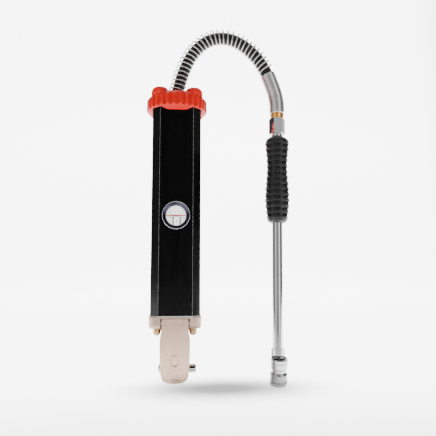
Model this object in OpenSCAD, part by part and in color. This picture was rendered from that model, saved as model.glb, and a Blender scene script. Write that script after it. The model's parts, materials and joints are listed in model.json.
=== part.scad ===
// Hand-held tyre inflator gun: black extruded body with a round gauge window, squeeze lever at the foot,
// red rubber boot on top, and a spring-guarded hose that carries a wand with a two-mouth tyre chuck.
// The gun's long axis is Z. The air inlet's mouth plane is z = 0. The lever and window face -Y.

/* [Body tube] */
// Width across the flats of the square extrusion
body_w = 47.4; // [46:0.1:49]
// Size of the 45 degree flats on the body's corners
body_chamfer = 7.6; // [6.5:0.1:8]
// Wall thickness between the corner screw channels
body_wall = 3.2; // [2.8:0.1:3.4]
// Height of the body's lower end above the inlet mouth
body_bottom = 64.4; // [64:0.1:65]
// Length of the body tube
body_len = 201.2; // [200:0.1:202]
// Distance of each corner screw from the body's axis, along X and along Y
screw_offset = 17; // [16.8:0.1:17.1]

/* [Gauge] */
// Height of the window's centre above the inlet mouth
window_z = 159; // [150:0.5:165]
// Outer diameter of the window bezel
bezel_d = 26.6; // [26:0.1:27.4]
// Stroke of the gauge piston from zero to full scale
gauge_stroke = 60; // [40:1:60]

/* [Lever] */
// Greatest width of the squeeze lever
lever_w = 28.2; // [27.6:0.1:28.6]
// Thickness of the lever's pressed steel
lever_t = 1.4; // [1.2:0.1:1.6]
// Height of the lever's pivot pin
pivot_z = 57.5; // [57:0.1:58]

/* [Boot] */
// Outer diameter of the rubber boot's ribbed ring
boot_d = 61; // [60:0.1:62]
// Number of grooves round the boot
boot_grooves = 30; // [24:1:36]

/* [Hose] */
// Outside diameter of the rubber hose
hose_d = 12.6; // [12:0.1:12.8]
// Outside diameter of the open spring guard
guard_d = 16.8; // [16.4:0.1:17]
// Outside diameter of the close-wound spring sleeve
sleeve_d = 15.4; // [15:0.1:15.8]

/* [Wand] */
// Outside diameter of the chromed wand tube
wand_d = 10; // [9.8:0.1:10.2]
// Width across the flats of the wand's hexagon nut
wand_nut_af = 14.2; // [14:0.1:15]
// Outside diameter of the chuck's barrel
chuck_d = 16.2; // [16:0.1:16.6]

/* [Hidden] */
$fn = 48;

overcut = 1;             // how far a cutting solid runs past the face that it opens
fit = 0.05;              // radial clearance of a pin, shaft or screw in its hole
rest_gap = 0.02;         // gap between faces that meet on two different pieces

half_body = body_w / 2;
body_top = body_bottom + body_len;
cavity_half = half_body - body_wall;
cavity_chamfer = 5;
channel_r = 4.6;         // wall radius of a corner screw channel
screw_r = 2;
gasket_t = 0.8;
flange_top = body_bottom - gasket_t;
flange_bottom = 53;
flange_half = 24.8;
flange_corner_r = 6;
flange_chamfer = 3.2;     // side of the square bar that cuts the chamfer
head_spigot_top = body_bottom + 5;

// air inlet, G 1/4 female
inlet_r = 5.72;
inlet_len = 12;
boss_r = 11;
boss_top = 16;
screen_t = 1.6;
screen_r = 5;

// valve, on an axis along Y
valve_z = 21;
plunger_r = 2.5;
stem_r = 1.4;
gland_front = -13;
front_chamber_y = -4;
front_chamber_r = 4.5;
seat_y = 3;
seat_t = 1;
disc_t = 2;
rear_chamber_r = 5;
block_back = 16;
cap_r = 7.6;
cap_t = 4;
o_ring_r = 0.7;
o_ring_y = -8;
passage_r = 2;

// lever
pivot_y = -10;
pin_r = 2;
lever_front = -22.4;
lever_top = 61.7;
lever_bottom = 4.6;
mark_z = 24;
slot_half = 13.7;
slot_back = -6;
slot_top = 62.3;
pin_half = 22.6;

// plugs at the sides of the inlet boss
plug_z = 12.5;
plug_r = 4.2;
plug_stem_r = 3;
plug_end = 20.7;
knob_end = 15.9;

// gauge
cylinder_r = 8.5;
cylinder_bore_r = 6.5;
cylinder_bottom = 66;
cylinder_top = 150;
piston_z = 74;
piston_h = 10;
cup_h = 2;
rod_r = 2;
drum_r = 12.5;
drum_bore_r = 11.3;
drum_bottom = window_z - gauge_stroke - 15;
drum_top = window_z + 13;
drum_lid = 2;
spring_top = body_top;
tube_y = 16.3;
tube_r = 3;
bezel_r = bezel_d / 2;
bezel_skirt_r = 12;
bezel_bore_r = 10.4;
bezel_face = half_body + 1.3;
bezel_inner = 16.5;
lens_r = 10.35;
lens_t = 1.5;
lens_front = half_body - 0.8;
pointer_w = 2.2;
pointer_end_w = 0.9;

// top end
cap_bottom = body_top + gasket_t;
cap_top = cap_bottom + 7.6;
screw_head_r = 4.2;
screw_head_h = 4;
fitting_r = 8.6;
fitting_top = cap_top + 5;
boot_r = boot_d / 2;
boot_bottom = 262.4;
boot_top = 281.5;
boot_chamfer = 4.4;
boot_lip = 4.2;
groove_r = 1.6;
dome_offset = 16.6;
dome_r = 8.6;
dome_top = 286.6;
dome_round = 5;

// hose route, [x, y, z], from the gun's fitting over the arch to the wand's ferrule
ROUTE = [
    [0, 0, 279], [0, 0, 283], [0, 0, 288], [2, 0, 294.5], [4.5, -0.5, 304], [8.5, -1, 315], [14, -1.5, 326.5],
    [22, -2, 336.5], [32, -3, 343.5], [43, -3.5, 346.5], [54, -4.5, 345.5], [64, -5, 341.5], [73, -5.5, 335],
    [81, -6, 327], [87.5, -6, 318], [93, -6, 308], [97.1, -6, 297.5], [100.5, -6.2, 287],
    [102.1, -6.8, 276.5], [102.1, -7.5, 266.2]
];
sleeve_from = 15;        // the route point where the open guard ends and the sleeve begins
tube_sides = 12;
guard_wall = 0.6;
guard_shift = 1;         // the loose guard stands off on the outer side of the bend
sleeve_wall = 1.1;

// wand frame: its origin is the hose's end, and its -Z runs down the wand
wand_origin = [102.1, -7.5, 266.2];
wand_lean = [-3, 1.14, 0];
ferrule_end = -5.4;
nut_top = -5.7;
nut_bottom = -22.2;
nut_turn = -3;
nipple_bottom = -26.2;
tube_top = -12;
tube_bottom = -237;
socket_top = -233.3;
socket_bottom = -240.5;
socket_r = 6.8;
neck_bottom = -246;
neck_r = 4.6;
wand_r = wand_d / 2;
wand_bore_r = 3.2;
grip_top = -24.6;
grip_bottom = -113;
grip_waist_r = 10.4;
grip_rows = 13;
grip_pitch = 5.87;
grip_first = -33.3;
grip_groove_h = 3.1;
grip_groove_depth = 2;
grip_ribs = 8;
grip_rib_angle = 12;
grip_rib_phase = -81;

// chuck frame: its origin is the barrel's middle, and its +Z is the upper mouth's direction
chuck_origin = [96.3, -28.4, 13.9];
chuck_tilt = 12;
chuck_r = chuck_d / 2;
chuck_half = 12.6;
mouth_r = 4.3;
mouth_depth = 5;
mouth_flare = 2.7;
mouth_flare_h = 1.8;
seal_r = 5.2;
seal_t = 2.4;
seal_top = chuck_half - mouth_depth;
seal_bottom = seal_top - seal_t;
seal_bore_r = 2.2;
chamber_r = 4;
chamber_end = 0.8;
stub_r = 5.6;
air_way_z = 3.4;
pin_shaft_r = 1.1;
pin_head_r = 2.6;
pin_head_z = 3.5;
pin_head_t = 1.2;

// ---------- shared shapes ----------

// square with 45 degree flats on its corners, centred on the axis
module chamfered_square(half, chamfer) {
    flat = half - chamfer;
    polygon([
        [half, -flat], [half, flat], [flat, half], [-flat, half],
        [-half, flat], [-half, -flat], [-flat, -half], [flat, -half]
    ]);
}

// copies its children to the four corner screw axes
module at_corners(offset_xy) {
    for (x = [-1, 1])
        for (y = [-1, 1])
            translate([x * offset_xy, y * offset_xy, 0]) children();
}

// the body's inner outline, with room taken by the screw channels
module cavity_outline(clearance) {
    difference() {
        chamfered_square(cavity_half - clearance, cavity_chamfer);
        at_corners(screw_offset) circle(r = channel_r + clearance);
    }
}

// cylinder along Y from y0 to y1
module along_y(r, y0, y1) {
    translate([0, y0, 0]) rotate([-90, 0, 0]) cylinder(r = r, h = y1 - y0);
}

// cylinder along X from x0 to x1
module along_x(r, x0, x1) {
    translate([x0, 0, 0]) rotate([0, 90, 0]) cylinder(r = r, h = x1 - x0);
}

// ring of rectangular section
module ring(r_out, r_in, h) {
    difference() {
        cylinder(r = r_out, h = h);
        translate([0, 0, -overcut]) cylinder(r = r_in, h = h + 2 * overcut);
    }
}

// ---------- swept shapes ----------

function spline_point(p, i, t) =
    let (
        last = len(p) - 1,
        a = p[max(i - 1, 0)],
        b = p[i],
        c = p[min(i + 1, last)],
        d = p[min(i + 2, last)]
    )
    0.5 * (2 * b + (c - a) * t + (2 * a - 5 * b + 4 * c - d) * t * t + (3 * b - a - 3 * c + d) * t * t * t);

function smooth_route(p, steps) = concat(
    [for (i = [0 : len(p) - 2]) for (s = [0 : steps - 1]) spline_point(p, i, s / steps)],
    [p[len(p) - 1]]
);

function unit(v) = v / norm(v);

function direction(p, i) = unit(p[min(i + 1, len(p) - 1)] - p[max(i - 1, 0)]);

// outward side of the arch at point i
function outward(p, i) = unit(cross([0, 1, 0], direction(p, i)) * -1);

function shifted(p, amount) = [for (i = [0 : len(p) - 1]) p[i] + outward(p, i) * amount];

function ring_points(p, r) = [
    for (i = [0 : len(p) - 1])
        let (n = outward(p, i), b = cross(direction(p, i), n))
        for (k = [0 : tube_sides - 1])
            p[i] + r * (cos(360 * k / tube_sides) * n + sin(360 * k / tube_sides) * b)
];

// closed skin of quads between the rings of one tube, its normals outward
function skin(rings, start) = [
    for (i = [0 : rings - 2]) for (k = [0 : tube_sides - 1])
        let (n = (k + 1) % tube_sides, a = start + i * tube_sides)
        [a + k, a + tube_sides + k, a + tube_sides + n, a + n]
];

function reversed(face) = [for (i = [len(face) - 1 : -1 : 0]) face[i]];

module swept_tube(p, r) {
    last = (len(p) - 1) * tube_sides;
    polyhedron(
        points = ring_points(p, r),
        faces = concat(
            [[for (k = [0 : tube_sides - 1]) k]],
            [[for (k = [tube_sides - 1 : -1 : 0]) last + k]],
            skin(len(p), 0)
        ),
        convexity = 6
    );
}

// the same tube with a bore along it
module swept_shell(p, r_out, r_in) {
    inner = len(p) * tube_sides;
    last = inner - tube_sides;
    polyhedron(
        points = concat(ring_points(p, r_out), ring_points(p, r_in)),
        faces = concat(
            skin(len(p), 0),
            [for (face = skin(len(p), inner)) reversed(face)],
            [for (k = [0 : tube_sides - 1])
                let (n = (k + 1) % tube_sides)
                [k, n, inner + n, inner + k]],
            [for (k = [0 : tube_sides - 1])
                let (n = (k + 1) % tube_sides)
                [last + n, last + k, inner + last + k, inner + last + n]]
        ),
        convexity = 6
    );
}

// coil spring along +Z from z = 0, its wire's section a hexagon
module coil_spring(r, wire, h, turns) {
    coil_steps = 12;
    sides = 6;
    count = turns * coil_steps;
    rise = (h - 2 * wire) / count;
    points = [
        for (i = [0 : count]) for (k = [0 : sides - 1])
            let (a = 360 * i / coil_steps, b = 360 * k / sides, rr = r - wire + wire * cos(b))
            [rr * cos(a), rr * sin(a), wire + i * rise + wire * sin(b)]
    ];
    polyhedron(
        points = points,
        faces = concat(
            [[for (k = [0 : sides - 1]) k]],
            [[for (k = [sides - 1 : -1 : 0]) count * sides + k]],
            [for (i = [0 : count - 1]) for (k = [0 : sides - 1])
                let (n = (k + 1) % sides, a = i * sides)
                [a + k, a + sides + k, a + sides + n, a + n]]
        ),
        convexity = 10
    );
}

// pan-headed screw: the head's underside at z = 0, its shank down to -shank
module pan_screw(head_r, head_h, shank) {
    round_r = head_h / 2;
    rotate_extrude()
        difference() {
            union() {
                square([head_r, head_h - round_r]);
                translate([0, head_h - round_r]) square([head_r - round_r, round_r]);
                translate([head_r - round_r, head_h - round_r]) circle(r = round_r);
                translate([0, -shank]) square([screw_r - fit, shank]);
            }
            translate([0, head_h - 1.4]) square([1.4, 2]);
            translate([-head_r, -shank - overcut]) square([head_r, shank + head_h + 2 * overcut]);
        }
}

// ---------- body and window ----------

module body_tube() {
    color("#111113")
        difference() {
            translate([0, 0, body_bottom])
                linear_extrude(body_len)
                    difference() {
                        chamfered_square(half_body, body_chamfer);
                        cavity_outline(0);
                        at_corners(screw_offset) circle(r = screw_r);
                    }
            translate([0, 0, window_z])
                along_y(bezel_skirt_r + fit, -half_body - overcut, -half_body + body_wall + overcut);
        }
}

module window_bezel() {
    color("#3a4048")
        translate([0, 0, window_z])
            rotate([90, 0, 0])
                rotate_extrude()
                    polygon([
                        [bezel_bore_r, bezel_inner], [bezel_skirt_r, bezel_inner],
                        [bezel_skirt_r, half_body + rest_gap], [bezel_r, half_body + rest_gap],
                        [bezel_r, bezel_face - 0.5], [bezel_r - 0.5, bezel_face],
                        [bezel_r - 1.3, bezel_face], [bezel_bore_r - 0.15, lens_front + 0.3],
                        [bezel_bore_r - 0.15, lens_front], [bezel_bore_r, lens_front]
                    ]);
}

module window_lens() {
    color("#e8f0f4", 0.4)
        translate([0, 0, window_z])
            along_y(lens_r, -lens_front + rest_gap, -lens_front + lens_t);
}

module lens_seal() {
    color("#222222")
        translate([0, -lens_front + lens_t + rest_gap, window_z])
            rotate([-90, 0, 0]) ring(lens_r, lens_r - 0.9, 1);
}

module pointer_line() {
    reach = lens_r - 1;
    color("#c8242c")
        translate([0, -lens_front + lens_t + 0.4, window_z])
            rotate([90, 0, 0])
                linear_extrude(0.35)
                    polygon([
                        [-reach, -pointer_end_w / 2], [0, -pointer_w / 2], [reach, -pointer_end_w / 2],
                        [reach, pointer_end_w / 2], [0, pointer_w / 2], [-reach, pointer_end_w / 2]
                    ]);
}

// ---------- head casting, gasket and screws ----------

module flange_plate() {
    flat = flange_half - flange_corner_r;
    translate([0, 0, flange_bottom])
        linear_extrude(flange_top - flange_bottom)
            union() {
                square([2 * flange_half, 2 * flat], center = true);
                square([2 * flat, 2 * flange_half], center = true);
                at_corners(flat) circle(r = flange_corner_r);
            }
}

module valve_block() {
    // inlet boss, valve barrel and the neck that carries them to the flange
    rotate_extrude()
        polygon([
            [0, 0], [boss_r - 1, 0], [boss_r, 1], [boss_r, boss_top], [boss_r - 1, boss_top + 4],
            [boss_r - 1, 40], [boss_r + 2, 48], [boss_r + 8, flange_bottom], [boss_r + 8, flange_bottom + 2], [0, flange_bottom + 2]
        ]);
    translate([0, 0, valve_z]) along_y(8.2, 0, block_back);
    translate([0, 0, valve_z]) along_y(5.2, gland_front, 0);
}

module valve_passages() {
    translate([0, 0, valve_z]) {
        along_y(plunger_r + fit, gland_front - overcut, 0);
        along_y(plunger_r + 2 * o_ring_r + 0.1, o_ring_y - o_ring_r - 0.1, o_ring_y + o_ring_r + 0.1);
        along_y(front_chamber_r, front_chamber_y, seat_y + seat_t);
        along_y(rear_chamber_r, seat_y + seat_t, block_back + overcut);
    }
    // inlet to the rear chamber
    translate([0, 5, inlet_len]) cylinder(r = passage_r, h = valve_z - inlet_len);
    // front chamber to the gauge, and across to the transfer tube
    translate([0, -1, valve_z]) cylinder(r = passage_r, h = head_spigot_top - valve_z);
    translate([0, 0, flange_bottom + 3]) along_y(passage_r, -1, tube_y);
    translate([0, tube_y, flange_bottom + 3]) cylinder(r = passage_r, h = 14);
}

module head_casting() {
    color("#cfc4b8")
        difference() {
            union() {
                valve_block();
                flange_plate();
                translate([0, 0, flange_top - overcut])
                    linear_extrude(head_spigot_top - flange_top + overcut) cavity_outline(0.3);
            }
            // chamfer round the flange's lower edge
            for (side = [0 : 90 : 270])
                rotate(side)
                    translate([flange_half, 0, flange_bottom])
                        rotate([0, 45, 0]) cube([flange_chamfer, 3 * flange_half, flange_chamfer], center = true);
            // slot between the front ears, where the lever's top nests
            translate([-slot_half, -flange_half - overcut, flange_bottom - 8])
                cube([2 * slot_half, slot_back + flange_half + overcut, slot_top - flange_bottom + 8]);
            translate([0, pivot_y, pivot_z]) along_x(pin_r + fit, -flange_half - overcut, flange_half + overcut);
            translate([0, 0, flange_bottom - overcut])
                at_corners(screw_offset) cylinder(r = screw_r + 0.1, h = 20);
            translate([0, 0, -overcut]) cylinder(r = inlet_r, h = inlet_len + overcut);
            translate([0, 0, inlet_len - rest_gap]) cylinder(r = screen_r + fit, h = screen_t + 2 * rest_gap);
            valve_passages();
            translate([0, 0, plug_z]) along_x(plug_stem_r + fit, 7.2, boss_r + overcut);
            translate([0, 0, plug_z]) along_x(plug_stem_r + fit, -boss_r - overcut, -7.2);
            // seats of the gauge cylinder and the transfer tube
            translate([0, 0, cylinder_bottom]) cylinder(r = cylinder_r + 1.5 + fit, h = 10);
            translate([0, tube_y, cylinder_bottom]) cylinder(r = tube_r + fit, h = 10);
        }
}

module head_gasket() {
    color("#d8d4c8")
        translate([0, 0, flange_top + rest_gap])
            linear_extrude(gasket_t - 2 * rest_gap)
                difference() {
                    chamfered_square(half_body + 0.6, body_chamfer);
                    cavity_outline(-0.2);
                    at_corners(screw_offset) circle(r = screw_r + 0.1);
                }
}

module head_screws() {
    color("#b9a27a")
        translate([0, 0, flange_bottom - rest_gap])
            at_corners(screw_offset)
                mirror([0, 0, 1]) pan_screw(3.6, 7, 28);
}

// ---------- lever and valve ----------

// outline of the lever's front plate: its half-width at the top, the widest part, the grip and the foot
function lever_outline(inset) =
    let (top = 12.5 - inset, wide = lever_w / 2 - inset, low = 13.6 - inset, foot = 12.6 - inset)
    [[-top, lever_top + 1], [-top, 51], [-wide, 43], [-wide, 36], [-low, 17], [-foot, 9],
     [-foot + 1, 6.4], [-foot + 2.8, lever_bottom], [foot - 2.8, lever_bottom], [foot - 1, 6.4],
     [foot, 9], [low, 17], [wide, 36], [wide, 43], [top, 51], [top, lever_top + 1]];

module lever_front_shape(inset) {
    rotate([90, 0, 0])
        translate([0, 0, -30])
            linear_extrude(60) polygon(lever_outline(inset));
}

// side view of the channel: the flanges are deep round the pin and shallow below
module lever_side_shape(back, rise) {
    rotate([90, 0, 90])
        translate([back, 0, -20])
            linear_extrude(40)
                polygon([
                    [lever_front, lever_top + rise], [pivot_y + 3.2, lever_top + rise],
                    [pivot_y + 3.2, pivot_z - 4], [pivot_y - 1, 46], [-14, 40], [-15, 12],
                    [-18, 3 - rise], [lever_front, 3 - rise]
                ]);
}

// oval cut from one depth to another under the lever's outer face
module oval_mark(r, from, to) {
    reach = 2;
    translate([0, lever_front, mark_z]) {
        for (z = [-reach, reach])
            translate([0, 0, z]) along_y(r, from, to);
        translate([-r, from, -reach]) cube([2 * r, to - from, 2 * reach]);
    }
}

module squeeze_lever() {
    line_w = 19;
    color("#d8c4b2")
        difference() {
            union() {
                difference() {
                    intersection() {
                        lever_front_shape(0);
                        lever_side_shape(0, 0);
                    }
                    intersection() {
                        lever_front_shape(lever_t);
                        lever_side_shape(lever_t, overcut);
                    }
                }
                // thumb pad pressed inward, which bears on the plunger
                translate([0, lever_front + lever_t, valve_z]) along_y(4, -0.4, 1.2);
            }
            translate([0, pivot_y, pivot_z]) along_x(pin_r + fit, -30, 30);
            // oval press mark on the outer face, with a raised middle and a small pit under it
            difference() {
                oval_mark(3.8, -overcut, 0.7);
                oval_mark(2.4, 0.1, 0.8);
            }
            translate([0, lever_front, mark_z - 4.9]) along_y(0.6, -overcut, 1);
            // shallow press lines across the top
            for (z = [52.6, 54.8, 57, 59])
                translate([-line_w / 2, lever_front - overcut, z]) cube([line_w, overcut + 0.15, 0.5]);
            // arched lower edge
            translate([0, 0, -16]) along_y(23, lever_front - overcut, 0);
        }
}

module lever_pin() {
    color("#b8b8bc")
        translate([0, pivot_y, pivot_z]) along_x(pin_r, -pin_half, pin_half);
}

module valve_plunger() {
    color("#c9a34a")
        translate([0, 0, valve_z]) {
            along_y(plunger_r, -19.4, front_chamber_y + 2);
            along_y(stem_r, front_chamber_y + 1, 9);
            along_y(4.2, seat_y + seat_t + disc_t + rest_gap, seat_y + seat_t + disc_t + 1);
        }
}

module valve_disc() {
    color("#1c1c1c")
        translate([0, seat_y + seat_t + rest_gap, valve_z])
            rotate([-90, 0, 0]) ring(4.2, stem_r, disc_t - rest_gap);
}

module valve_seat() {
    color("#c9a34a")
        translate([0, seat_y, valve_z])
            rotate([-90, 0, 0]) ring(front_chamber_r - 0.02, 2.9, seat_t);
}

module valve_spring() {
    color("#c0c0c4")
        translate([0, seat_y + seat_t + disc_t + 1.1, valve_z])
            rotate([-90, 0, 0]) coil_spring(3.8, 0.35, block_back - seat_y - seat_t - disc_t - 1.2, 5);
}

module plunger_o_ring() {
    color("#1c1c1c")
        translate([0, o_ring_y, valve_z])
            rotate([-90, 0, 0])
                rotate_extrude() translate([plunger_r + o_ring_r + 0.02, 0]) circle(r = o_ring_r);
}

module rear_valve_cap() {
    color("#cfc4b8")
        difference() {
            translate([0, 0, valve_z]) {
                along_y(rear_chamber_r - 0.02, block_back - 3, block_back + 1);
                along_y(cap_r, block_back + rest_gap, block_back + cap_t);
            }
            translate([-1, block_back + cap_t - 1.5, valve_z - cap_r]) cube([2, 3, 2 * cap_r]);
            translate([0, 0, valve_z]) along_y(4.2, block_back - 4, block_back);
        }
}

module side_plug() {
    color("#d4d4d8")
        difference() {
            translate([0, 0, plug_z]) {
                along_x(plug_stem_r, 7.4, boss_r + 1);
                along_x(plug_r, boss_r + rest_gap, plug_end - 0.8);
                translate([plug_end - 0.8, 0, 0])
                    rotate([0, 90, 0]) cylinder(r1 = plug_r, r2 = plug_r - 0.8, h = 0.8);
            }
            translate([0, 0, plug_z]) along_x(1.6, plug_end - 3, plug_end + overcut);
        }
}

module bleed_screw() {
    knob_round = 1.6;
    color("#d4d4d8")
        translate([0, 0, plug_z])
            rotate([0, -90, 0])
                rotate_extrude()
                    difference() {
                        union() {
                            translate([0, 7.4]) square([plug_stem_r, boss_r - 6]);
                            translate([0, boss_r + rest_gap]) square([plug_r, knob_end - knob_round - boss_r]);
                            translate([0, boss_r + 1]) square([plug_r - knob_round, knob_end - boss_r - 1]);
                            translate([plug_r - knob_round, knob_end - knob_round]) circle(r = knob_round);
                        }
                        translate([0, knob_end - 1]) square([1.2, 2]);
                    }
}

module inlet_screen() {
    color("#b08d57")
        translate([0, 0, inlet_len]) cylinder(r = screen_r, h = screen_t);
}

// ---------- gauge ----------

module gauge_cylinder() {
    color("#c9a34a")
        translate([0, 0, cylinder_bottom + rest_gap])
            difference() {
                union() {
                    cylinder(r = cylinder_r + 1.5, h = 2.5);
                    cylinder(r = cylinder_r, h = cylinder_top - cylinder_bottom);
                }
                translate([0, 0, 2]) cylinder(r = cylinder_bore_r, h = cylinder_top);
                translate([0, 0, -overcut]) cylinder(r = 4, h = 5);
            }
}

module rod_bush() {
    color("#e6e2d8")
        translate([0, 0, cylinder_top - 4]) ring(cylinder_bore_r - 0.02, rod_r + fit, 4);
}

module gauge_piston() {
    color("#c9a34a") {
        translate([0, 0, piston_z]) cylinder(r = cylinder_bore_r - fit, h = piston_h - 4);
        translate([0, 0, piston_z + piston_h - 5]) cylinder(r = rod_r, h = drum_top - piston_z - piston_h + 5);
    }
}

module piston_cup_seal() {
    color("#1c1c1c")
        translate([0, 0, piston_z - cup_h - rest_gap])
            difference() {
                cylinder(r = cylinder_bore_r - 0.03, h = cup_h);
                translate([0, 0, -overcut]) cylinder(r = 4.4, h = overcut + 1.2);
            }
}

module scale_drum() {
    color("#f4f4f0")
        difference() {
            translate([0, 0, drum_bottom]) cylinder(r = drum_r, h = drum_top - drum_bottom);
            translate([0, 0, drum_bottom - overcut])
                cylinder(r = drum_bore_r, h = drum_top - drum_lid - drum_bottom + overcut);
            translate([0, 0, drum_top - 3]) cylinder(r = rod_r + 0.02, h = 4);
        }
}

module gauge_spring() {
    color("#c0c0c4")
        translate([0, 0, drum_top + 0.05])
            coil_spring(9.5, 0.5, spring_top - drum_top - 0.1, 20);
}

module transfer_tube() {
    color("#c9a34a")
        translate([0, tube_y, cylinder_bottom + rest_gap])
            ring(tube_r, tube_r - 1, cap_bottom + 4 - cylinder_bottom - 2 * rest_gap);
}

// ---------- top end ----------

module top_gasket() {
    color("#d8d4c8")
        translate([0, 0, body_top + rest_gap])
            linear_extrude(gasket_t - 2 * rest_gap)
                difference() {
                    chamfered_square(half_body - 0.2, body_chamfer);
                    cavity_outline(-0.2);
                    at_corners(screw_offset) circle(r = screw_r + 0.1);
                }
}

module top_cap() {
    color("#9fa3a8")
        difference() {
            union() {
                translate([0, 0, cap_bottom])
                    linear_extrude(cap_top - cap_bottom) chamfered_square(half_body - 0.2, body_chamfer);
                // plate that the gauge spring bears on
                translate([0, 0, spring_top + rest_gap]) cylinder(r = 11.5, h = gasket_t + 1);
            }
            at_corners(screw_offset) translate([0, 0, cap_bottom - overcut]) cylinder(r = screw_r + 0.1, h = 20);
            translate([0, 0, cap_bottom + 1]) cylinder(r = 5 + fit, h = 20);
            translate([0, tube_y, cap_bottom - overcut]) cylinder(r = tube_r + fit, h = 5 + rest_gap);
            translate([0, tube_y, cap_bottom]) cylinder(r = passage_r, h = 6);
            translate([0, 0, cap_bottom + 4]) along_y(passage_r - 0.4, 4, tube_y);
        }
}

module top_screws() {
    color("#b8b8bc")
        translate([0, 0, cap_top + rest_gap])
            at_corners(screw_offset) pan_screw(screw_head_r, screw_head_h, 28);
}

module hose_fitting() {
    color("#c9a34a")
        difference() {
            union() {
                translate([0, 0, cap_bottom + 1 + rest_gap]) cylinder(r = 5, h = cap_top - cap_bottom);
                translate([0, 0, cap_top + rest_gap])
                    cylinder(r = fitting_r / cos(30), h = fitting_top - cap_top - 2 * rest_gap, $fn = 6);
            }
            translate([0, 0, cap_bottom]) cylinder(r = 2.5, h = 20);
            translate([0, 0, cap_bottom + 4]) along_y(1.6, 0, 7);
        }
}

module boot_domes() {
    intersection() {
        translate([0, 0, boot_top - 5])
            at_corners(dome_offset)
                rotate_extrude()
                    intersection() {
                        union() {
                            square([dome_r, dome_top - boot_top + 5 - dome_round]);
                            square([dome_r - dome_round, dome_top - boot_top + 5]);
                            translate([dome_r - dome_round, dome_top - boot_top + 5 - dome_round])
                                circle(r = dome_round);
                        }
                        square([dome_r, 20]);
                    }
        cylinder(r = boot_r, h = dome_top + 5);
    }
}

module rubber_boot() {
    color("#ff3818")
        difference() {
            union() {
                rotate_extrude()
                    polygon([
                        [0, boot_bottom], [boot_r - boot_lip - 1, boot_bottom],
                        [boot_r, boot_bottom + boot_lip + 0.6], [boot_r, boot_top - boot_chamfer],
                        [boot_r - boot_chamfer, boot_top], [0, boot_top]
                    ]);
                boot_domes();
            }
            for (i = [0 : boot_grooves - 1])
                rotate(360 * (i + 0.5) / boot_grooves)
                    translate([boot_r - 0.1, 0, boot_bottom + boot_lip])
                        cylinder(r = groove_r, h = boot_top - boot_bottom - boot_lip - 1.5);
            translate([0, 0, boot_bottom - overcut])
                linear_extrude(cap_top - boot_bottom + overcut + rest_gap)
                    chamfered_square(half_body + 0.05, body_chamfer);
            translate([0, 0, cap_top - overcut])
                at_corners(screw_offset) cylinder(r = screw_head_r + 0.1, h = screw_head_h + overcut + 0.1);
            translate([0, 0, cap_top]) cylinder(r = 10.2, h = 30);
        }
}

// ---------- hose ----------

module hose() {
    color("#1a1a1a") swept_tube(smooth_route(ROUTE, 2), hose_d / 2);
}

module spring_guard() {
    open_part = [for (i = [0 : sleeve_from]) ROUTE[i]];
    path = shifted(smooth_route(open_part, 2), guard_shift);
    short_path = [for (i = [0 : len(path) - 2]) path[i]];
    color("#c8c8cc") swept_shell(short_path, guard_d / 2, guard_d / 2 - guard_wall);
}

module spring_sleeve() {
    closed_part = [for (i = [sleeve_from : len(ROUTE) - 1]) ROUTE[i]];
    color("#b8b8b8")
        swept_shell(smooth_route(closed_part, 2), sleeve_d / 2, sleeve_d / 2 - sleeve_wall);
}

// ---------- wand ----------

module in_wand_frame() {
    translate(wand_origin) rotate(wand_lean) children();
}

module hose_ferrule() {
    color("#d09040")
        in_wand_frame()
            difference() {
                union() {
                    translate([0, 0, ferrule_end]) cylinder(r = 6.8, h = -ferrule_end - 0.3);
                    translate([0, 0, -11]) cylinder(r = 4, h = 10);
                }
                translate([0, 0, -12]) cylinder(r = 2.5, h = 20);
            }
}

module wand_nut() {
    nut_r = wand_nut_af / 2 / cos(30);
    color("#d8d8dc")
        in_wand_frame()
            difference() {
                union() {
                    intersection() {
                        translate([0, 0, nut_bottom])
                            rotate(nut_turn) cylinder(r = nut_r, h = nut_top - nut_bottom, $fn = 6);
                        rotate_extrude()
                            polygon([
                                [0, nut_bottom], [nut_r - 1, nut_bottom], [nut_r, nut_bottom + 1],
                                [nut_r, nut_top - 1], [nut_r - 1, nut_top], [0, nut_top]
                            ]);
                    }
                    translate([0, 0, nipple_bottom + 1.7]) cylinder(r = 5.6, h = nut_bottom - nipple_bottom);
                }
                translate([0, 0, -11.5]) cylinder(r = 4 + fit, h = 8);
                translate([0, 0, -30]) cylinder(r = wand_r + 0.02, h = 30 + tube_top + 0.02);
                translate([0, 0, -15]) cylinder(r = 2.5, h = 10);
            }
}

module wand_tube() {
    color("#d8d8dc")
        in_wand_frame()
            translate([0, 0, tube_bottom]) ring(wand_r, wand_bore_r, tube_top - tube_bottom);
}

// radius of the grip's outer side at a height, waisted in its upper half
function grip_radius(z) =
    let (down = -z)
    down < 55 ? grip_waist_r + 1.8 * (1 - cos(180 * (55 - down) / 26)) / 2
    : down < 90 ? grip_waist_r + 1.8 * (1 - cos(180 * (down - 55) / 35)) / 2
    : grip_waist_r + 1.8 - 2 * (1 - cos(180 * (down - 90) / 24)) / 2;

// the grip's outer side from its lowest to its topmost bar, sunk by a little for the lengthwise ribs
function grip_side(sink) = [
    for (row = [grip_rows : -1 : 0])
        let (z = grip_first + (grip_pitch - grip_groove_h) / 2 - row * grip_pitch)
        [grip_radius(z) - sink, z]
];

module grip_rib() {
    side = grip_side(0.25);
    low_end = [grip_waist_r - 3, side[0][1]];
    high_end = [grip_waist_r - 3, side[grip_rows][1]];
    rotate_extrude(angle = grip_rib_angle) polygon(concat([low_end], side, [high_end]));
}

module grip_core() {
    rotate_extrude()
        polygon(concat(
            [[wand_r + 0.02, grip_bottom], [6.8, grip_bottom], [9.2, grip_bottom + 1.4]],
            grip_side(0),
            [[11.4, -28.6], [9, -26.4], [6.2, grip_top], [wand_r + 0.02, grip_top]]
        ));
}

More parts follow.
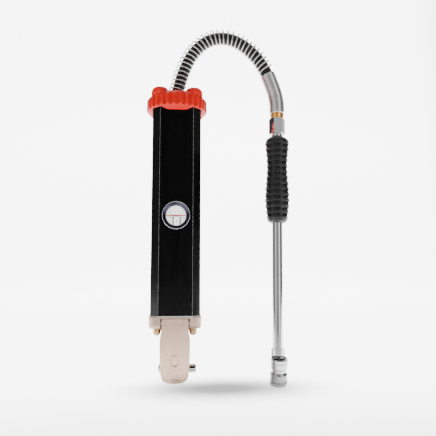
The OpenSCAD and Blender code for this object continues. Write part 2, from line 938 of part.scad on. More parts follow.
module hand_grip() {
    color("#17181a")
        in_wand_frame()
            difference() {
                union() {
                    difference() {
                        grip_core();
                        for (row = [0 : grip_rows - 1])
                            translate([0, 0, grip_first - row * grip_pitch - grip_groove_h])
                                ring(16, grip_radius(grip_first - row * grip_pitch) - grip_groove_depth, grip_groove_h);
                    }
                    for (k = [0 : grip_ribs - 1])
                        rotate(grip_rib_phase + k * 360 / grip_ribs - grip_rib_angle / 2) grip_rib();
                }
                translate([0, 0, grip_bottom - overcut])
                    cylinder(r = wand_r + 0.02, h = grip_top - grip_bottom + 2 * overcut);
                translate([0, 0, nipple_bottom + 1.6]) cylinder(r = 5.7, h = 5);
            }
}

// ---------- chuck ----------

module in_chuck_frame() {
    translate(chuck_origin) rotate([chuck_tilt, 0, 0]) children();
}

// one mouth's bore, from its rim inward: flare, guide, seal pocket, chamber for the pin's head
module mouth_bore() {
    translate([0, 0, chuck_half - mouth_flare_h])
        cylinder(r1 = mouth_r, r2 = mouth_r + mouth_flare, h = mouth_flare_h + 0.01);
    translate([0, 0, seal_top]) cylinder(r = mouth_r, h = mouth_depth + overcut);
    translate([0, 0, seal_bottom]) cylinder(r = seal_r, h = seal_t + rest_gap);
    translate([0, 0, chamber_end]) cylinder(r = chamber_r, h = seal_bottom);
}

module chuck_body() {
    color("#d8d8dc")
        difference() {
            union() {
                in_chuck_frame()
                    rotate_extrude()
                        polygon([
                            [0, 0.15], [7, 0.15], [7, 2.6], [chuck_r - 0.6, 3.2], [chuck_r, 3.8],
                            [chuck_r, 8.6], [chuck_r - 0.4, 9], [chuck_r - 0.4, 9.6], [chuck_r, 10],
                            [chuck_r, chuck_half - 0.8], [chuck_r - 0.8, chuck_half], [0, chuck_half]
                        ]);
                in_chuck_frame()
                    translate([0, 0, -seal_bottom + rest_gap]) cylinder(r = stub_r, h = seal_bottom + overcut);
                in_wand_frame() {
                    translate([0, 0, socket_bottom]) cylinder(r = socket_r, h = socket_top - socket_bottom);
                    translate([0, 0, neck_bottom]) cylinder(r = neck_r, h = socket_bottom - neck_bottom + overcut);
                    translate([0, 0, neck_bottom]) sphere(r = neck_r);
                }
            }
            in_wand_frame() {
                translate([0, 0, tube_bottom]) cylinder(r = wand_r + 0.02, h = 10);
                translate([0, 0, neck_bottom - 2]) cylinder(r = 2.2, h = 12);
            }
            in_chuck_frame() {
                mouth_bore();
                // lower chamber, and the way between the two chambers and the wand
                translate([0, 0, -seal_bottom]) cylinder(r = chamber_r, h = seal_bottom - chamber_end);
                translate([0, 0, -2]) cylinder(r = pin_shaft_r + 0.1, h = 5);
                translate([0, 0, air_way_z]) along_y(1.2, 0, 9.4);
            }
        }
}

module chuck_nut() {
    color("#c4c6c8")
        in_chuck_frame()
            mirror([0, 0, 1])
                difference() {
                    rotate_extrude()
                        polygon([
                            [0, -0.1], [6.6, -0.1], [chuck_r, 2.2], [chuck_r, 2.6],
                            [chuck_r - 0.3, 2.8], [chuck_r - 0.3, 8], [chuck_r, 8.2],
                            [chuck_r - 0.5, 8.6], [chuck_r - 0.5, 9.1], [chuck_r + 0.1, 9.5],
                            [chuck_r + 0.1, chuck_half - 0.6], [chuck_r - 0.5, chuck_half], [0, chuck_half]
                        ]);
                    translate([0, 0, -overcut]) cylinder(r = stub_r + fit, h = seal_bottom + overcut + rest_gap);
                    mouth_bore();
                }
}

// rubber washer with a hole for the pin
module mouth_seal() {
    translate([0, 0, seal_bottom + rest_gap]) ring(seal_r - 0.03, seal_bore_r, seal_t - 2 * rest_gap);
}

module upper_seal() {
    color("#1c1c1c") in_chuck_frame() mouth_seal();
}

module lower_seal() {
    color("#1c1c1c") in_chuck_frame() mirror([0, 0, 1]) mouth_seal();
}

// valve depressor: a shaft through the seal and a head that its spring lifts
module mouth_pin() {
    translate([0, 0, pin_head_z]) cylinder(r = pin_shaft_r, h = seal_top - pin_head_z);
    translate([0, 0, pin_head_z]) cylinder(r = pin_head_r, h = pin_head_t);
}

module upper_pin() {
    color("#d4d4d8") in_chuck_frame() mouth_pin();
}

module lower_pin() {
    color("#d4d4d8") in_chuck_frame() mirror([0, 0, 1]) mouth_pin();
}

module mouth_pin_spring() {
    translate([0, 0, chamber_end + 0.05]) coil_spring(2.4, 0.25, pin_head_z - chamber_end - 0.1, 2);
}

module upper_pin_spring() {
    color("#c0c0c4") in_chuck_frame() mouth_pin_spring();
}

module lower_pin_spring() {
    color("#c0c0c4") in_chuck_frame() mirror([0, 0, 1]) mouth_pin_spring();
}

body_tube();
window_bezel();
window_lens();
lens_seal();
pointer_line();
head_casting();
head_gasket();
head_screws();
squeeze_lever();
lever_pin();
valve_plunger();
valve_disc();
valve_seat();
valve_spring();
plunger_o_ring();
rear_valve_cap();
side_plug();
bleed_screw();
inlet_screen();
gauge_cylinder();
rod_bush();
gauge_piston();
piston_cup_seal();
scale_drum();
gauge_spring();
transfer_tube();
top_gasket();
top_cap();
top_screws();
hose_fitting();
rubber_boot();
hose();
spring_guard();
spring_sleeve();
hose_ferrule();
wand_nut();
wand_tube();
hand_grip();
chuck_body();
chuck_nut();
upper_seal();
lower_seal();
upper_pin();
lower_pin();
upper_pin_spring();
lower_pin_spring();
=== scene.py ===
"""Looks of the tyre inflator gun: camera, materials, hose, springs, rubber parts, scale and studio."""

import json
import math

import bmesh
import bpy
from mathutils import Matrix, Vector


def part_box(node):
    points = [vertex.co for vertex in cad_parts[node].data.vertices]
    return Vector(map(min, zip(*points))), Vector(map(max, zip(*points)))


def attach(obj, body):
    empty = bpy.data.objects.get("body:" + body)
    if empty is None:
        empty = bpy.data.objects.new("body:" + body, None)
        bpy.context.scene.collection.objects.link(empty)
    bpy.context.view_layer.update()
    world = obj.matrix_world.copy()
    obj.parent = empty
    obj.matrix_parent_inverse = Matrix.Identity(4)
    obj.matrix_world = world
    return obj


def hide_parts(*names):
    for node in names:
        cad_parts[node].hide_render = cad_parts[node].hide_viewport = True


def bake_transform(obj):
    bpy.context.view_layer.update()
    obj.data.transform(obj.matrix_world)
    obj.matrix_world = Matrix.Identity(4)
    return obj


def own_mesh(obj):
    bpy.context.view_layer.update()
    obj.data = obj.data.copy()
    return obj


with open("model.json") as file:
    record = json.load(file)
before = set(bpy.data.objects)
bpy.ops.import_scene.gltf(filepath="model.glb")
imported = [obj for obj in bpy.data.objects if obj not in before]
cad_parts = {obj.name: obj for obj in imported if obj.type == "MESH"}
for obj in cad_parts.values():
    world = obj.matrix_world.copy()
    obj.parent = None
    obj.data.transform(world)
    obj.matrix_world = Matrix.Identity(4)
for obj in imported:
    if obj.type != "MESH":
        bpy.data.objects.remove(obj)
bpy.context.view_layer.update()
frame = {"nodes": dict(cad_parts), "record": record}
record = frame["record"]
nodes = frame["nodes"]
MM = 0.001

# ---------------------------------------------------------------- camera

CAMERA_DISTANCE = 0.482
CAMERA_HEIGHT = 0.1084
CAMERA_YAW = math.radians(5.0)
CAMERA_PITCH = math.radians(6.0)
CAMERA_LENS = 39.85


def add_camera():
    data = bpy.data.cameras.new("camera")
    data.lens = CAMERA_LENS
    data.sensor_width = 36.0
    camera = bpy.data.objects.new("camera", data)
    bpy.context.scene.collection.objects.link(camera)
    camera.location = (0.0, -CAMERA_DISTANCE, CAMERA_HEIGHT)
    aim = Vector(
        (
            math.sin(CAMERA_YAW) * math.cos(CAMERA_PITCH),
            math.cos(CAMERA_YAW) * math.cos(CAMERA_PITCH),
            math.sin(CAMERA_PITCH),
        )
    )
    camera.rotation_mode = "QUATERNION"
    camera.rotation_quaternion = aim.to_track_quat("-Z", "Y")
    bpy.context.scene.camera = camera


add_camera()

# ---------------------------------------------------------------- node helpers


def new_material(name):
    """A new material, its node tree and its Principled shader."""
    material = bpy.data.materials.new(name)
    material.use_nodes = True
    return material, material.node_tree, material.node_tree.nodes["Principled BSDF"]


def add_node(tree, kind, links=None, **values):
    """A node with its properties or input sockets set by name, and its inputs linked."""
    node = tree.nodes.new(kind)
    for key, value in values.items():
        if hasattr(node, key):
            setattr(node, key, value)
        else:
            node.inputs[key.replace("_", " ")].default_value = value
    for key, source in (links or {}).items():
        tree.links.new(source, node.inputs[key])
    return node


def noise(tree, scale, detail=3.0, stretch=(1, 1, 1)):
    """Noise in the object's own frame, in metres, stretched along chosen axes."""
    place = add_node(tree, "ShaderNodeTexCoord")
    mapping = add_node(tree, "ShaderNodeMapping", {"Vector": place.outputs["Object"]})
    mapping.inputs["Scale"].default_value = stretch
    texture = add_node(tree, "ShaderNodeTexNoise", {"Vector": mapping.outputs["Vector"]})
    texture.inputs["Scale"].default_value = scale
    texture.inputs["Detail"].default_value = detail
    return texture.outputs["Fac"]


def spread(tree, source, low, high):
    """Maps a 0.3 to 0.7 noise value to low and high."""
    ramp = add_node(tree, "ShaderNodeMapRange", {"Value": source})
    ramp.inputs["From Min"].default_value = 0.3
    ramp.inputs["From Max"].default_value = 0.7
    ramp.inputs["To Min"].default_value = low
    ramp.inputs["To Max"].default_value = high
    return ramp.outputs["Result"]


def tinted(tree, source, colour, amount):
    """The colour, darkened a little where the noise is low."""
    mix = add_node(tree, "ShaderNodeMix", {"Factor": source}, data_type="RGBA")
    dark = [c * (1 - amount) for c in colour]
    mix.inputs[6].default_value = (*dark, 1)
    mix.inputs[7].default_value = (*colour, 1)
    return mix.outputs[2]


# how wide the grey highlight painted along the edges is
EDGE_HIGHLIGHT_WIDTH = 0.5 * MM


def painted_edge_highlight(tree, base, grey):
    """The base colour turned grey along the edges, where the rounded and flat normal differ: a painted
    highlight.
    """
    bevel = add_node(tree, "ShaderNodeBevel", samples=4)
    bevel.inputs["Radius"].default_value = EDGE_HIGHLIGHT_WIDTH
    flat = add_node(tree, "ShaderNodeNewGeometry")
    normals = {0: bevel.outputs["Normal"], 1: flat.outputs["True Normal"]}
    match = add_node(tree, "ShaderNodeVectorMath", normals, operation="DOT_PRODUCT")
    edge = add_node(tree, "ShaderNodeMapRange", {"Value": match.outputs["Value"]})
    edge.inputs["From Min"].default_value = 0.999
    edge.inputs["From Max"].default_value = 0.97
    mix = add_node(tree, "ShaderNodeMix", {"Factor": edge.outputs["Result"], 6: base}, data_type="RGBA")
    mix.inputs[7].default_value = (grey, grey, grey * 0.92, 1)
    return mix.outputs[2]


def surface(
    name, colour, metallic, roughness, grain=(400, 0.15, 0.1), rounding=0.0,
    gloss=0.5, stretch=(1, 1, 1), shift=0.08, edge_highlight_grey=0.0, painted_glow=0.0,
):
    """A general finish.

    grain is (noise scale, bump strength, bump distance in mm) and rounding an edge radius in mm. shift is how
    far the roughness varies, and the edge grey that of a highlight painted along the edges. The glow strength
    is painted light: how strongly the material gives off light of its own colour, which keeps a white part
    white where too little light would reach it.
    """
    material, tree, shader = new_material(name)
    grain_scale, grain_strength, grain_depth = grain
    coarse = noise(tree, grain_scale * 0.12, 2.0)
    fine = noise(tree, grain_scale, 4.0, stretch)
    base = tinted(tree, coarse, colour, 0.16)
    # a grey highlight painted along the edges
    if edge_highlight_grey:
        base = painted_edge_highlight(tree, base, edge_highlight_grey)
    tree.links.new(base, shader.inputs["Base Color"])
    # painted glow: the surface gives off light of its own colour
    if painted_glow:
        tree.links.new(base, shader.inputs["Emission Color"])
        shader.inputs["Emission Strength"].default_value = painted_glow
    varied = spread(tree, fine, max(0.02, roughness - shift), min(1.0, roughness + shift))
    tree.links.new(varied, shader.inputs["Roughness"])
    shader.inputs["Metallic"].default_value = metallic
    shader.inputs["Specular IOR Level"].default_value = gloss
    bump = add_node(tree, "ShaderNodeBump", {"Height": fine})
    bump.inputs["Strength"].default_value = grain_strength
    bump.inputs["Distance"].default_value = grain_depth * MM
    if rounding:
        bevel = add_node(tree, "ShaderNodeBevel", samples=4)
        bevel.inputs["Radius"].default_value = rounding * MM
        tree.links.new(bevel.outputs["Normal"], bump.inputs["Normal"])
    tree.links.new(bump.outputs["Normal"], shader.inputs["Normal"])
    return material


# ---------------------------------------------------------------- materials


def lens_material():
    material, tree, shader = new_material("clear_lens")
    smudge = noise(tree, 90, 2.0)
    tree.links.new(spread(tree, smudge, 0.02, 0.09), shader.inputs["Roughness"])
    shader.inputs["Base Color"].default_value = (0.96, 0.98, 0.98, 1)
    shader.inputs["Alpha"].default_value = 0.05
    shader.inputs["IOR"].default_value = 1.45
    return material


FINISHES = {
    # the anodised body has a grey highlight painted along its edges
    "black_anodised": surface(
        "black_anodised", (0.002, 0.002, 0.0022), 0.0, 0.16, (900, 0.02, 0.02), 1.2,
        stretch=(1, 1, 0.03), gloss=0.09, edge_highlight_grey=0.24,
    ),
    "dark_bezel": surface("dark_bezel", (0.035, 0.038, 0.055), 1.0, 0.22, (900, 0.05, 0.02), 0.35),
    "clear_lens": lens_material(),
    "seal_rubber": surface("seal_rubber", (0.018, 0.018, 0.019), 0.0, 0.55, (700, 0.2, 0.05)),
    "red_print": surface("red_print", (0.42, 0.002, 0.03), 0.0, 0.4, (700, 0.1, 0.02)),
    "nickel_casting": surface(
        "nickel_casting", (0.42, 0.30, 0.23), 1.0, 0.36, (420, 0.16, 0.08), 0.9, shift=0.1,
    ),
    "nickel_pressing": surface("nickel_pressing", (0.50, 0.345, 0.255), 1.0, 0.34, (520, 0.05, 0.04), 0.7),
    "gasket_fibre": surface("gasket_fibre", (0.52, 0.50, 0.45), 0.0, 0.75, (900, 0.4, 0.05)),
    "plated_screw": surface("plated_screw", (0.34, 0.21, 0.10), 1.0, 0.22, (700, 0.15, 0.05), 0.4),
    "steel_pin": surface("steel_pin", (0.58, 0.58, 0.60), 1.0, 0.24, (900, 0.1, 0.03), 0.3),
    "brass": surface("brass", (0.80, 0.36, 0.08), 1.0, 0.26, (900, 0.15, 0.04), 0.3),
    "chrome": surface("chrome", (0.46, 0.46, 0.47), 1.0, 0.05, (350, 0.02, 0.02), 0.35, shift=0.02),
    "satin_chrome": surface("satin_chrome", (0.30, 0.29, 0.30), 1.0, 0.24, (900, 0.2, 0.05), 0.3),
    "cast_aluminium": surface("cast_aluminium", (0.50, 0.51, 0.53), 1.0, 0.45, (420, 0.3, 0.1), 0.4),
    # white plastic parts glow a little: painted light that keeps the scale drum white in the tube's shade
    "white_plastic": surface("white_plastic", (0.93, 0.93, 0.92), 0.0, 0.42, (500, 0.08, 0.03), painted_glow=2.0),
    "spring_steel": surface("spring_steel", (0.46, 0.45, 0.43), 1.0, 0.26, (1500, 0.1, 0.03)),
    "red_rubber": surface(
        "red_rubber", (0.50, 0.005, 0.0004), 0.0, 0.42, (900, 0.12, 0.06), shift=0.06, gloss=0.14,
    ),
    "hose_rubber": surface("hose_rubber", (0.004, 0.004, 0.004), 0.0, 0.42, (900, 0.25, 0.06), gloss=0.22),
    "grip_rubber": surface("grip_rubber", (0.004, 0.004, 0.0045), 0.0, 0.4, (1100, 0.35, 0.06), gloss=0.28),
}


def set_material(piece, finish):
    piece.data.materials.clear()
    piece.data.materials.append(FINISHES[finish])


for part in record["subparts"]:
    set_material(nodes[part["node"]], part["material_slot"])

# ---------------------------------------------------------------- swept meshes

# the hose's route, from the gun's fitting over the arch to the wand's ferrule
ROUTE = [
    (0, 0, 0.279), (0, 0, 0.283), (0, 0, 0.288), (0.002, 0, 0.2945), (0.0045, -0.0005, 0.304),
    (0.0085, -0.001, 0.315), (0.014, -0.0015, 0.3265), (0.022, -0.002, 0.3365), (0.032, -0.003, 0.3435),
    (0.043, -0.0035, 0.3465), (0.054, -0.0045, 0.3455), (0.064, -0.005, 0.3415), (0.073, -0.0055, 0.335),
    (0.081, -0.006, 0.327), (0.0875, -0.006, 0.318), (0.093, -0.006, 0.308), (0.0971, -0.006, 0.2975),
    (0.1005, -0.0062, 0.287), (0.1021, -0.0068, 0.2765), (0.1021, -0.0075, 0.2662),
]
SLEEVE_FROM = 15

# the hose's outer radius, and the depth of the wave in its cover
HOSE_RADIUS = 6.3 * MM
HOSE_WAVE = 0.22 * MM

# the guard's outer radius, its wire's radius, its pitch, and how far it stands towards the outer side
GUARD_RADIUS = 8.4 * MM
GUARD_WIRE = 0.72 * MM
GUARD_PITCH = 4.7 * MM
GUARD_SHIFT = 1.0 * MM

# the sleeve's outer radius, and the pitch and height of its crests
SLEEVE_RADIUS = 7.7 * MM
SLEEVE_PITCH = 1.1 * MM
SLEEVE_CREST = 0.1 * MM


def smooth_route(points, steps=12):
    """The spline through the route's points, as closely spaced vectors."""
    p = [Vector(q) for q in points]
    last = len(p) - 1
    line = []
    for i in range(last):
        a, b, c, d = p[max(i - 1, 0)], p[i], p[i + 1], p[min(i + 2, last)]
        for s in range(steps):
            t = s / steps
            square = (2 * a - 5 * b + 4 * c - d) * t**2
            cube = (3 * b - a - 3 * c + d) * t**3
            line.append(0.5 * (2 * b + (c - a) * t + square + cube))
    return line + [p[last]]


def stations(line):
    """(distance, point, direction, outward side of the arch) along a line."""
    travelled, found = 0.0, []
    for i, point in enumerate(line):
        if i:
            travelled += (point - line[i - 1]).length
        along = (line[min(i + 1, len(line) - 1)] - line[max(i - 1, 0)]).normalized()
        outward = -Vector((0, 1, 0)).cross(along).normalized()
        found.append((travelled, point, along, outward))
    return found


def at_distance(found, distance):
    """The station at a distance, between its two neighbours."""
    for before, after in zip(found, found[1:]):
        if distance <= after[0]:
            share = (distance - before[0]) / (after[0] - before[0])
            return tuple(before[k].lerp(after[k], share) for k in (1, 2, 3))
    return found[-1][1:]


def tube_mesh(name, rings):
    """A closed tube through rings of points, smooth-shaded."""
    mesh = bpy.data.meshes.new(name)
    sides = len(rings[0])
    faces = [
        (i * sides + k, i * sides + (k + 1) % sides, (i + 1) * sides + (k + 1) % sides, (i + 1) * sides + k)
        for i in range(len(rings) - 1)
        for k in range(sides)
    ]
    faces += [tuple(reversed(range(sides))), tuple(range((len(rings) - 1) * sides, len(rings) * sides))]
    mesh.from_pydata([p for ring in rings for p in ring], [], faces)
    mesh.polygons.foreach_set("use_smooth", [True] * len(mesh.polygons))
    mesh.update()
    piece = bpy.data.objects.new(name, mesh)
    bpy.context.scene.collection.objects.link(piece)
    return piece


def swept_tube(name, found, radius_at, sides=32):
    """A tube along the stations, whose radius depends on the distance and the angle from the outer side."""
    rings = []
    for travelled, point, along, outward in found:
        across = along.cross(outward)
        ring = []
        for k in range(sides):
            angle = 2 * math.pi * k / sides
            radius = radius_at(travelled, angle)
            ring.append(point + radius * (math.cos(angle) * outward + math.sin(angle) * across))
        rings.append(ring)
    return tube_mesh(name, rings)


def ring_round(centre, right, up, radius, sides):
    """Points on a circle round centre, in the plane of right and up."""
    angles = [2 * math.pi * k / sides for k in range(sides)]
    return [centre + radius * (math.cos(angle) * right + math.sin(angle) * up) for angle in angles]


def swept_coil(name, found, radius, wire, pitch, shift=0.0, steps=36, sides=8):
    """A wire of radius wire, wound round the line within the outer radius, and moved outward by shift."""
    length = found[-1][0]
    turns = (length - 2 * wire) / pitch
    count = int(turns * steps)
    centres = []
    for i in range(count + 1):
        point, along, outward = at_distance(found, wire + pitch * i / steps)
        angle = 2 * math.pi * i / steps
        across = along.cross(outward)
        spoke = math.cos(angle) * outward + math.sin(angle) * across
        centres.append((point + shift * outward + (radius - wire) * spoke, spoke))
    rings = []
    for i, (centre, spoke) in enumerate(centres):
        run = (centres[min(i + 1, count)][0] - centres[max(i - 1, 0)][0]).normalized()
        side = run.cross(spoke).normalized()
        rings.append(ring_round(centre, spoke, side, wire, sides))
    return tube_mesh(name, rings)


# ---------------------------------------------------------------- hose, guard and sleeve

hose_line = smooth_route(ROUTE)
hose_stations = stations(hose_line)
guard_stations = stations(smooth_route(ROUTE[: SLEEVE_FROM + 1])[:-4])
sleeve_stations = stations(smooth_route(ROUTE[SLEEVE_FROM:], 64))


def hose_radius(travelled, angle):
    """The cover's radius, with a shallow wave on the inner side of the bend, as long as the guard's pitch."""
    inner = 0.5 - 0.5 * math.cos(angle)
    ripple = math.cos(2 * math.pi * travelled / GUARD_PITCH + math.pi)
    return HOSE_RADIUS + inner * HOSE_WAVE * ripple - HOSE_WAVE


hose = swept_tube("hose_cover", hose_stations, hose_radius)
set_material(hose, "hose_rubber")
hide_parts("hose")

guard = swept_coil("guard_coil", guard_stations, GUARD_RADIUS, GUARD_WIRE, GUARD_PITCH, GUARD_SHIFT)
set_material(guard, "spring_steel")
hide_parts("spring_guard")


def sleeve_radius(travelled, angle):
    """The sleeve's radius, with the rounded crests of a close winding."""
    turn = 2 * math.pi * travelled / SLEEVE_PITCH + angle
    return SLEEVE_RADIUS - SLEEVE_CREST * (0.5 - 0.5 * math.cos(turn))


sleeve = swept_tube("sleeve_coil", sleeve_stations, sleeve_radius, 48)
set_material(sleeve, "spring_steel")
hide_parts("spring_sleeve")

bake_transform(hose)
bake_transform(guard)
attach(sleeve, "wand")

# ---------------------------------------------------------------- moulded rubber


def moulded_copy(node, name, voxel, relax):
    """A copy of a CAD node with round edges: remeshed with voxels of this size in mm, then relaxed."""
    piece = bpy.data.objects.new(name, nodes[node].data.copy())
    bpy.context.scene.collection.objects.link(piece)
    weld = bmesh.new()
    weld.from_mesh(piece.data)
    bmesh.ops.remove_doubles(weld, verts=weld.verts, dist=1e-6)
    weld.to_mesh(piece.data)
    weld.free()
    remesh = piece.modifiers.new("remesh", "REMESH")
    remesh.mode = "VOXEL"
    remesh.voxel_size = voxel * MM
    smooth = piece.modifiers.new("smooth", "SMOOTH")
    smooth.iterations = relax
    smooth.factor = 0.5
    bpy.context.view_layer.objects.active = piece
    for modifier in list(piece.modifiers):
        with bpy.context.temp_override(object=piece, active_object=piece, selected_objects=[piece]):
            bpy.ops.object.modifier_apply(modifier=modifier.name)
    piece.data.polygons.foreach_set("use_smooth", [True] * len(piece.data.polygons))
    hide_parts(node)
    return piece


boot = moulded_copy("rubber_boot", "boot_moulding", 0.45, 4)
set_material(boot, "red_rubber")
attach(boot, "gun")

grip = moulded_copy("hand_grip", "grip_moulding", 0.35, 4)
set_material(grip, "grip_rubber")
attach(grip, "wand")

# ---------------------------------------------------------------- springs that are pressed together


def squashed_spring(node, body):
    """A copy of a CAD spring in spring steel, carried by its body in place of the hidden CAD node."""
    piece = bpy.data.objects.new(node + "_coil", nodes[node].data.copy())
    bpy.context.scene.collection.objects.link(piece)
    set_material(piece, "spring_steel")
    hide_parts(node)
    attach(piece, body)
    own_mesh(piece)


squashed_spring("gauge_spring", "gun")
squashed_spring("valve_spring", "gun")
for side, joint, direction in (("upper", "upper_pin_travel", 1), ("lower", "lower_pin_travel", -1)):
    squashed_spring(side + "_pin_spring", "wand")

# ---------------------------------------------------------------- bright rim of the window


def rim_stations(centre, radius, count=96):
    """Points round a circle in the XZ plane."""
    return [
        centre + radius * Vector((math.cos(2 * math.pi * i / count), 0, math.sin(2 * math.pi * i / count)))
        for i in range(count)
    ]


def window_rim():
    """A thin rolled edge round the bezel's front."""
    low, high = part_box("window_bezel")
    wire = 0.25 * MM
    centre = Vector(((low.x + high.x) / 2, low.y + 0.75 * wire, (low.z + high.z) / 2))
    ring = rim_stations(centre, (high.x - low.x) / 2 - wire)
    count, sides = len(ring), 10
    form = bmesh.new()
    loops = []
    for point in ring:
        spoke = (point - centre).normalized()
        circle = ring_round(point, spoke, Vector((0, 1, 0)), wire, sides)
        loops.append([form.verts.new(corner) for corner in circle])
    for i in range(count):
        near, far = loops[i], loops[(i + 1) % count]
        for k in range(sides):
            form.faces.new((near[k], near[(k + 1) % sides], far[(k + 1) % sides], far[k]))
    bmesh.ops.recalc_face_normals(form, faces=form.faces)
    mesh = bpy.data.meshes.new("window_rim")
    form.to_mesh(mesh)
    form.free()
    mesh.polygons.foreach_set("use_smooth", [True] * len(mesh.polygons))
    piece = bpy.data.objects.new("window_rim", mesh)
    bpy.context.scene.collection.objects.link(piece)
    set_material(piece, "steel_pin")
    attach(piece, "gun")


window_rim()

# ---------------------------------------------------------------- printed scale on the drum

drum_low, drum_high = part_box("scale_drum")
lens_low, lens_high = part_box("window_lens")
DRUM_RADIUS = (drum_high.x - drum_low.x) / 2
WINDOW_Z = (lens_low.z + lens_high.z) / 2
SCALE_STEP = 10 * MM
SCALE_COLUMNS = (-2.9 * MM, 4.3 * MM)
DASH_PITCH = 1.75 * MM
DASH_COUNT = 34
TICK_COUNT = 14
NUMBER_COUNT = 7
DIGIT_HEIGHT = 2.2 * MM
INK_THICKNESS = 0.05 * MM


def wrap(x, z, proud):
    """A point of the flat print, laid round the drum's front."""
    angle = x / DRUM_RADIUS
    radius = DRUM_RADIUS + proud
    return Vector((radius * math.sin(angle), -radius * math.cos(angle), z))


def ink_bar(form, x0, x1, z0, z1):
    """A thin printed bar, subdivided so that it follows the drum."""
    parts = max(1, int((x1 - x0) / (0.8 * MM)))
    for i in range(parts):
        a = x0 + (x1 - x0) * i / parts
        b = x0 + (x1 - x0) * (i + 1) / parts
        corners = [(a, z0), (b, z0), (b, z1), (a, z1)]
        front = [form.verts.new(wrap(x, z, INK_THICKNESS)) for x, z in corners]
        back = [form.verts.new(wrap(x, z, -INK_THICKNESS)) for x, z in corners]
        form.faces.new(front)
        form.faces.new(reversed(back))
        for k in range(4):
            n = (k + 1) % 4
            form.faces.new((front[n], front[k], back[k], back[n]))


# seven-segment strokes of each digit: top, upper left, upper right, middle, lower left, lower right, bottom
SEGMENTS = {
    "0": "1110111", "1": "0010010", "2": "1011101", "4": "0111010", "6": "1101111", "8": "1111111",
}


def ink_digit(form, digit, x, z, height):
    """One digit in seven-segment strokes, its middle at x, z."""
    width, line = height * 0.55, height * 0.16
    half = width / 2
    top, low = z + height / 2, z - height / 2
    bars = [
        (x - half, x + half, top - line, top), (x - half, x - half + line, z, top),
        (x + half - line, x + half, z, top), (x - half, x + half, z - line / 2, z + line / 2),
        (x - half, x - half + line, low, z), (x + half - line, x + half, low, z),
        (x - half, x + half, low, low + line),
    ]
    for wanted, bar in zip(SEGMENTS[digit], bars):
        if wanted == "1":
            ink_bar(form, *bar)


def printed_scale():
    """Two columns of dashes, a column of short ticks, and the even numbers from 0 to 12."""
    form = bmesh.new()
    for tick in range(DASH_COUNT):
        z = WINDOW_Z - tick * DASH_PITCH - 1.2 * MM
        wide = 0.85 * MM if tick % 5 else 1.15 * MM
        for x in SCALE_COLUMNS:
            ink_bar(form, x - wide, x + wide, z - 0.7 * MM, z + 0.7 * MM)
    for tick in range(TICK_COUNT):
        z = WINDOW_Z - tick * 4.2 * MM + 3.6 * MM
        ink_bar(form, -6.4 * MM, -5.2 * MM, z - 0.4 * MM, z + 0.4 * MM)
    for step in range(NUMBER_COUNT):
        text = str(2 * step)
        z = WINDOW_Z - step * SCALE_STEP - 4.5 * MM
        for i, digit in enumerate(text):
            x = 0.7 * MM + (i - (len(text) - 1) / 2) * 1.7 * MM
            ink_digit(form, digit, x, z, DIGIT_HEIGHT)
    mesh = bpy.data.meshes.new("printed_scale")
    form.to_mesh(mesh)
    form.free()
    piece = bpy.data.objects.new("printed_scale", mesh)
    bpy.context.scene.collection.objects.link(piece)
    set_material(piece, "seal_rubber")
    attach(piece, "gauge")


printed_scale()

# ---------------------------------------------------------------- studio


def smooth_step(tree, source, start, end, low, high):
    """Eases from low to high as the source goes from start to end."""
    step = add_node(tree, "ShaderNodeMapRange", {"Value": source}, interpolation_type="SMOOTHSTEP")
    step.inputs["From Min"].default_value = start
    step.inputs["From Max"].default_value = end
    step.inputs["To Min"].default_value = low
    step.inputs["To Max"].default_value = high
    return step.outputs["Result"]


# where the stage's glow begins and is whole along Y, its middle along X, and where it fades on either side
STAGE_GLOW = 5.5
GLOW_START_Y = -0.42
GLOW_FULL_Y = 0.02
GLOW_MIDDLE_X = 0.2
GLOW_FADE_FROM = 1.2
GLOW_FADE_TO = 1.7

# the soft oval that is painted on the floor as the object's shadow: its middle and its radii
SHADOW_PLACE = (0.045, -0.03, 0)
SHADOW_RADII = (0.105, 0.05, 1)


def stage_material(name, colour, glow):
    """Pale paper that gives off light by place, with the object's shadow painted on it.

    The glow grows from in front of the object towards the back and fades far out on either side. The shadow
    is a soft oval where the paper is grey and hardly glows. It stays where it is when the object moves.
    """
    material, tree, shader = new_material(name)
    grain = noise(tree, 6, 2.0)
    paper = tinted(tree, grain, colour, 0.01)
    shader.inputs["Roughness"].default_value = 0.9
    shader.inputs["Specular IOR Level"].default_value = 0.1
    place = add_node(tree, "ShaderNodeTexCoord")
    parts = add_node(tree, "ShaderNodeSeparateXYZ", {"Vector": place.outputs["Object"]})
    depth = smooth_step(tree, parts.outputs["Y"], GLOW_START_Y, GLOW_FULL_Y, 0.0, glow)
    aside = add_node(tree, "ShaderNodeMath", {0: parts.outputs["X"]}, operation="SUBTRACT")
    aside.inputs[1].default_value = GLOW_MIDDLE_X
    width = add_node(tree, "ShaderNodeMath", {0: aside.outputs[0]}, operation="ABSOLUTE")
    side = smooth_step(tree, width.outputs[0], GLOW_FADE_FROM, GLOW_FADE_TO, 1.0, 0.05)
    strength = add_node(tree, "ShaderNodeMath", {0: depth, 1: side}, operation="MULTIPLY")
    around = add_node(tree, "ShaderNodeMapping", {"Vector": place.outputs["Object"]}, vector_type="TEXTURE")
    around.inputs["Location"].default_value = SHADOW_PLACE
    around.inputs["Scale"].default_value = SHADOW_RADII
    away = add_node(tree, "ShaderNodeVectorMath", {0: around.outputs["Vector"]}, operation="LENGTH")
    shade = smooth_step(tree, away.outputs["Value"], 0.15, 1.2, 0.06, 1.0)
    strength = add_node(tree, "ShaderNodeMath", {0: strength.outputs[0], 1: shade}, operation="MULTIPLY")
    shaded = add_node(tree, "ShaderNodeMix", {"Factor": shade, 7: paper}, data_type="RGBA")
    shaded.inputs[6].default_value = (0.2, 0.2, 0.2, 1)
    tree.links.new(shaded.outputs[2], shader.inputs["Base Color"])
    shader.inputs["Emission Color"].default_value = (1, 1, 1, 1)
    tree.links.new(strength.outputs[0], shader.inputs["Emission Strength"])
    return material


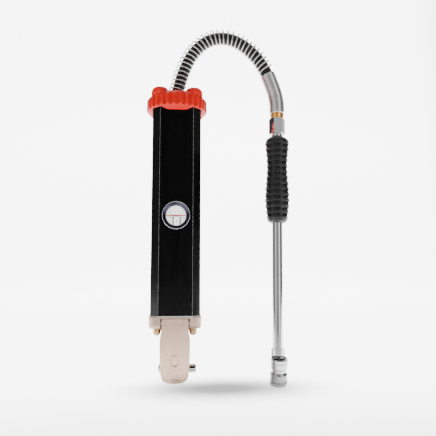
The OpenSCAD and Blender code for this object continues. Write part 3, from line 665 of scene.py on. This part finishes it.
def add_backdrop():
    """A floor that curves up into a wall behind the object."""
    form = bmesh.new()
    half, back, front, height, bend = 4.0, 2.2, -2.5, 4.0, 0.8
    floor_gap = 0.0002
    profile = [(front, 0.0), (back - bend, 0.0)]
    for i in range(1, 13):
        angle = math.pi / 2 * i / 12
        profile.append((back - bend + bend * math.sin(angle), bend - bend * math.cos(angle)))
    profile.append((back, height))
    rows = [[form.verts.new((x, y, z - floor_gap)) for y, z in profile] for x in (-half, half)]
    for i in range(len(profile) - 1):
        form.faces.new((rows[0][i], rows[1][i], rows[1][i + 1], rows[0][i + 1]))
    mesh = bpy.data.meshes.new("backdrop")
    form.to_mesh(mesh)
    form.free()
    mesh.polygons.foreach_set("use_smooth", [True] * len(mesh.polygons))
    backdrop = bpy.data.objects.new("backdrop", mesh)
    bpy.context.scene.collection.objects.link(backdrop)
    backdrop.data.materials.append(stage_material("backdrop", (0.93, 0.93, 0.93), STAGE_GLOW))


def add_light(name, place, aim, size, power):
    """A rectangular panel at place that faces aim, with its size in metres and its power in watts."""
    data = bpy.data.lights.new(name, "AREA")
    data.shape = "RECTANGLE"
    data.size, data.size_y = size
    data.energy = power
    light = bpy.data.objects.new(name, data)
    bpy.context.scene.collection.objects.link(light)
    light.location = place
    light.rotation_mode = "QUATERNION"
    light.rotation_quaternion = (Vector(aim) - Vector(place)).to_track_quat("-Z", "Y")


def add_world():
    """Bright side panels with a dark gap behind the camera and dim gaps towards the back."""
    world = bpy.data.worlds.new("studio")
    world.use_nodes = True
    tree = world.node_tree
    place = add_node(tree, "ShaderNodeTexCoord")
    parts = add_node(tree, "ShaderNodeSeparateXYZ", {"Vector": place.outputs["Generated"]})
    flipped = add_node(tree, "ShaderNodeMath", {0: parts.outputs["Y"]}, operation="MULTIPLY")
    flipped.inputs[1].default_value = -1.0
    sides = {0: parts.outputs["X"], 1: flipped.outputs[0]}
    angle = add_node(tree, "ShaderNodeMath", sides, operation="ARCTAN2")
    share = add_node(tree, "ShaderNodeMapRange", {"Value": angle.outputs[0]})
    share.inputs["From Min"].default_value = -math.pi
    share.inputs["From Max"].default_value = math.pi
    ramp = add_node(tree, "ShaderNodeValToRGB", {"Fac": share.outputs["Result"]})
    # (share of a full turn about Z, brightness there)
    stops = [
        (0.0, 1.0), (0.10, 1.0), (0.12, 0.12), (0.23, 0.12), (0.26, 1.0), (0.478, 1.0), (0.486, 0.02),
        (0.509, 0.02), (0.514, 1.3), (0.656, 1.3), (0.672, 0.12), (0.74, 0.12), (0.77, 1.0),
    ]
    elements = ramp.color_ramp.elements
    elements[0].position, elements[0].color = stops[0][0], (stops[0][1],) * 3 + (1,)
    elements[1].position, elements[1].color = stops[-1][0], (stops[-1][1],) * 3 + (1,)
    for position, value in stops[1:-1]:
        elements.new(position).color = (value, value, value, 1)
    background = tree.nodes["Background"]
    tree.links.new(ramp.outputs["Color"], background.inputs["Color"])
    background.inputs["Strength"].default_value = 0.8
    bpy.context.scene.world = world


add_backdrop()
add_world()
add_light("overhead", (0.05, -0.1, 1.1), (0.05, 0.0, 0.1), (1.2, 0.8), 5)
add_light("left_panel", (-0.8, -0.75, 0.45), (0.05, 0, 0.2), (0.4, 1.0), 1.5)
add_light("right_panel", (0.75, -0.95, 0.45), (0.1, 0, 0.2), (0.3, 1.0), 3)
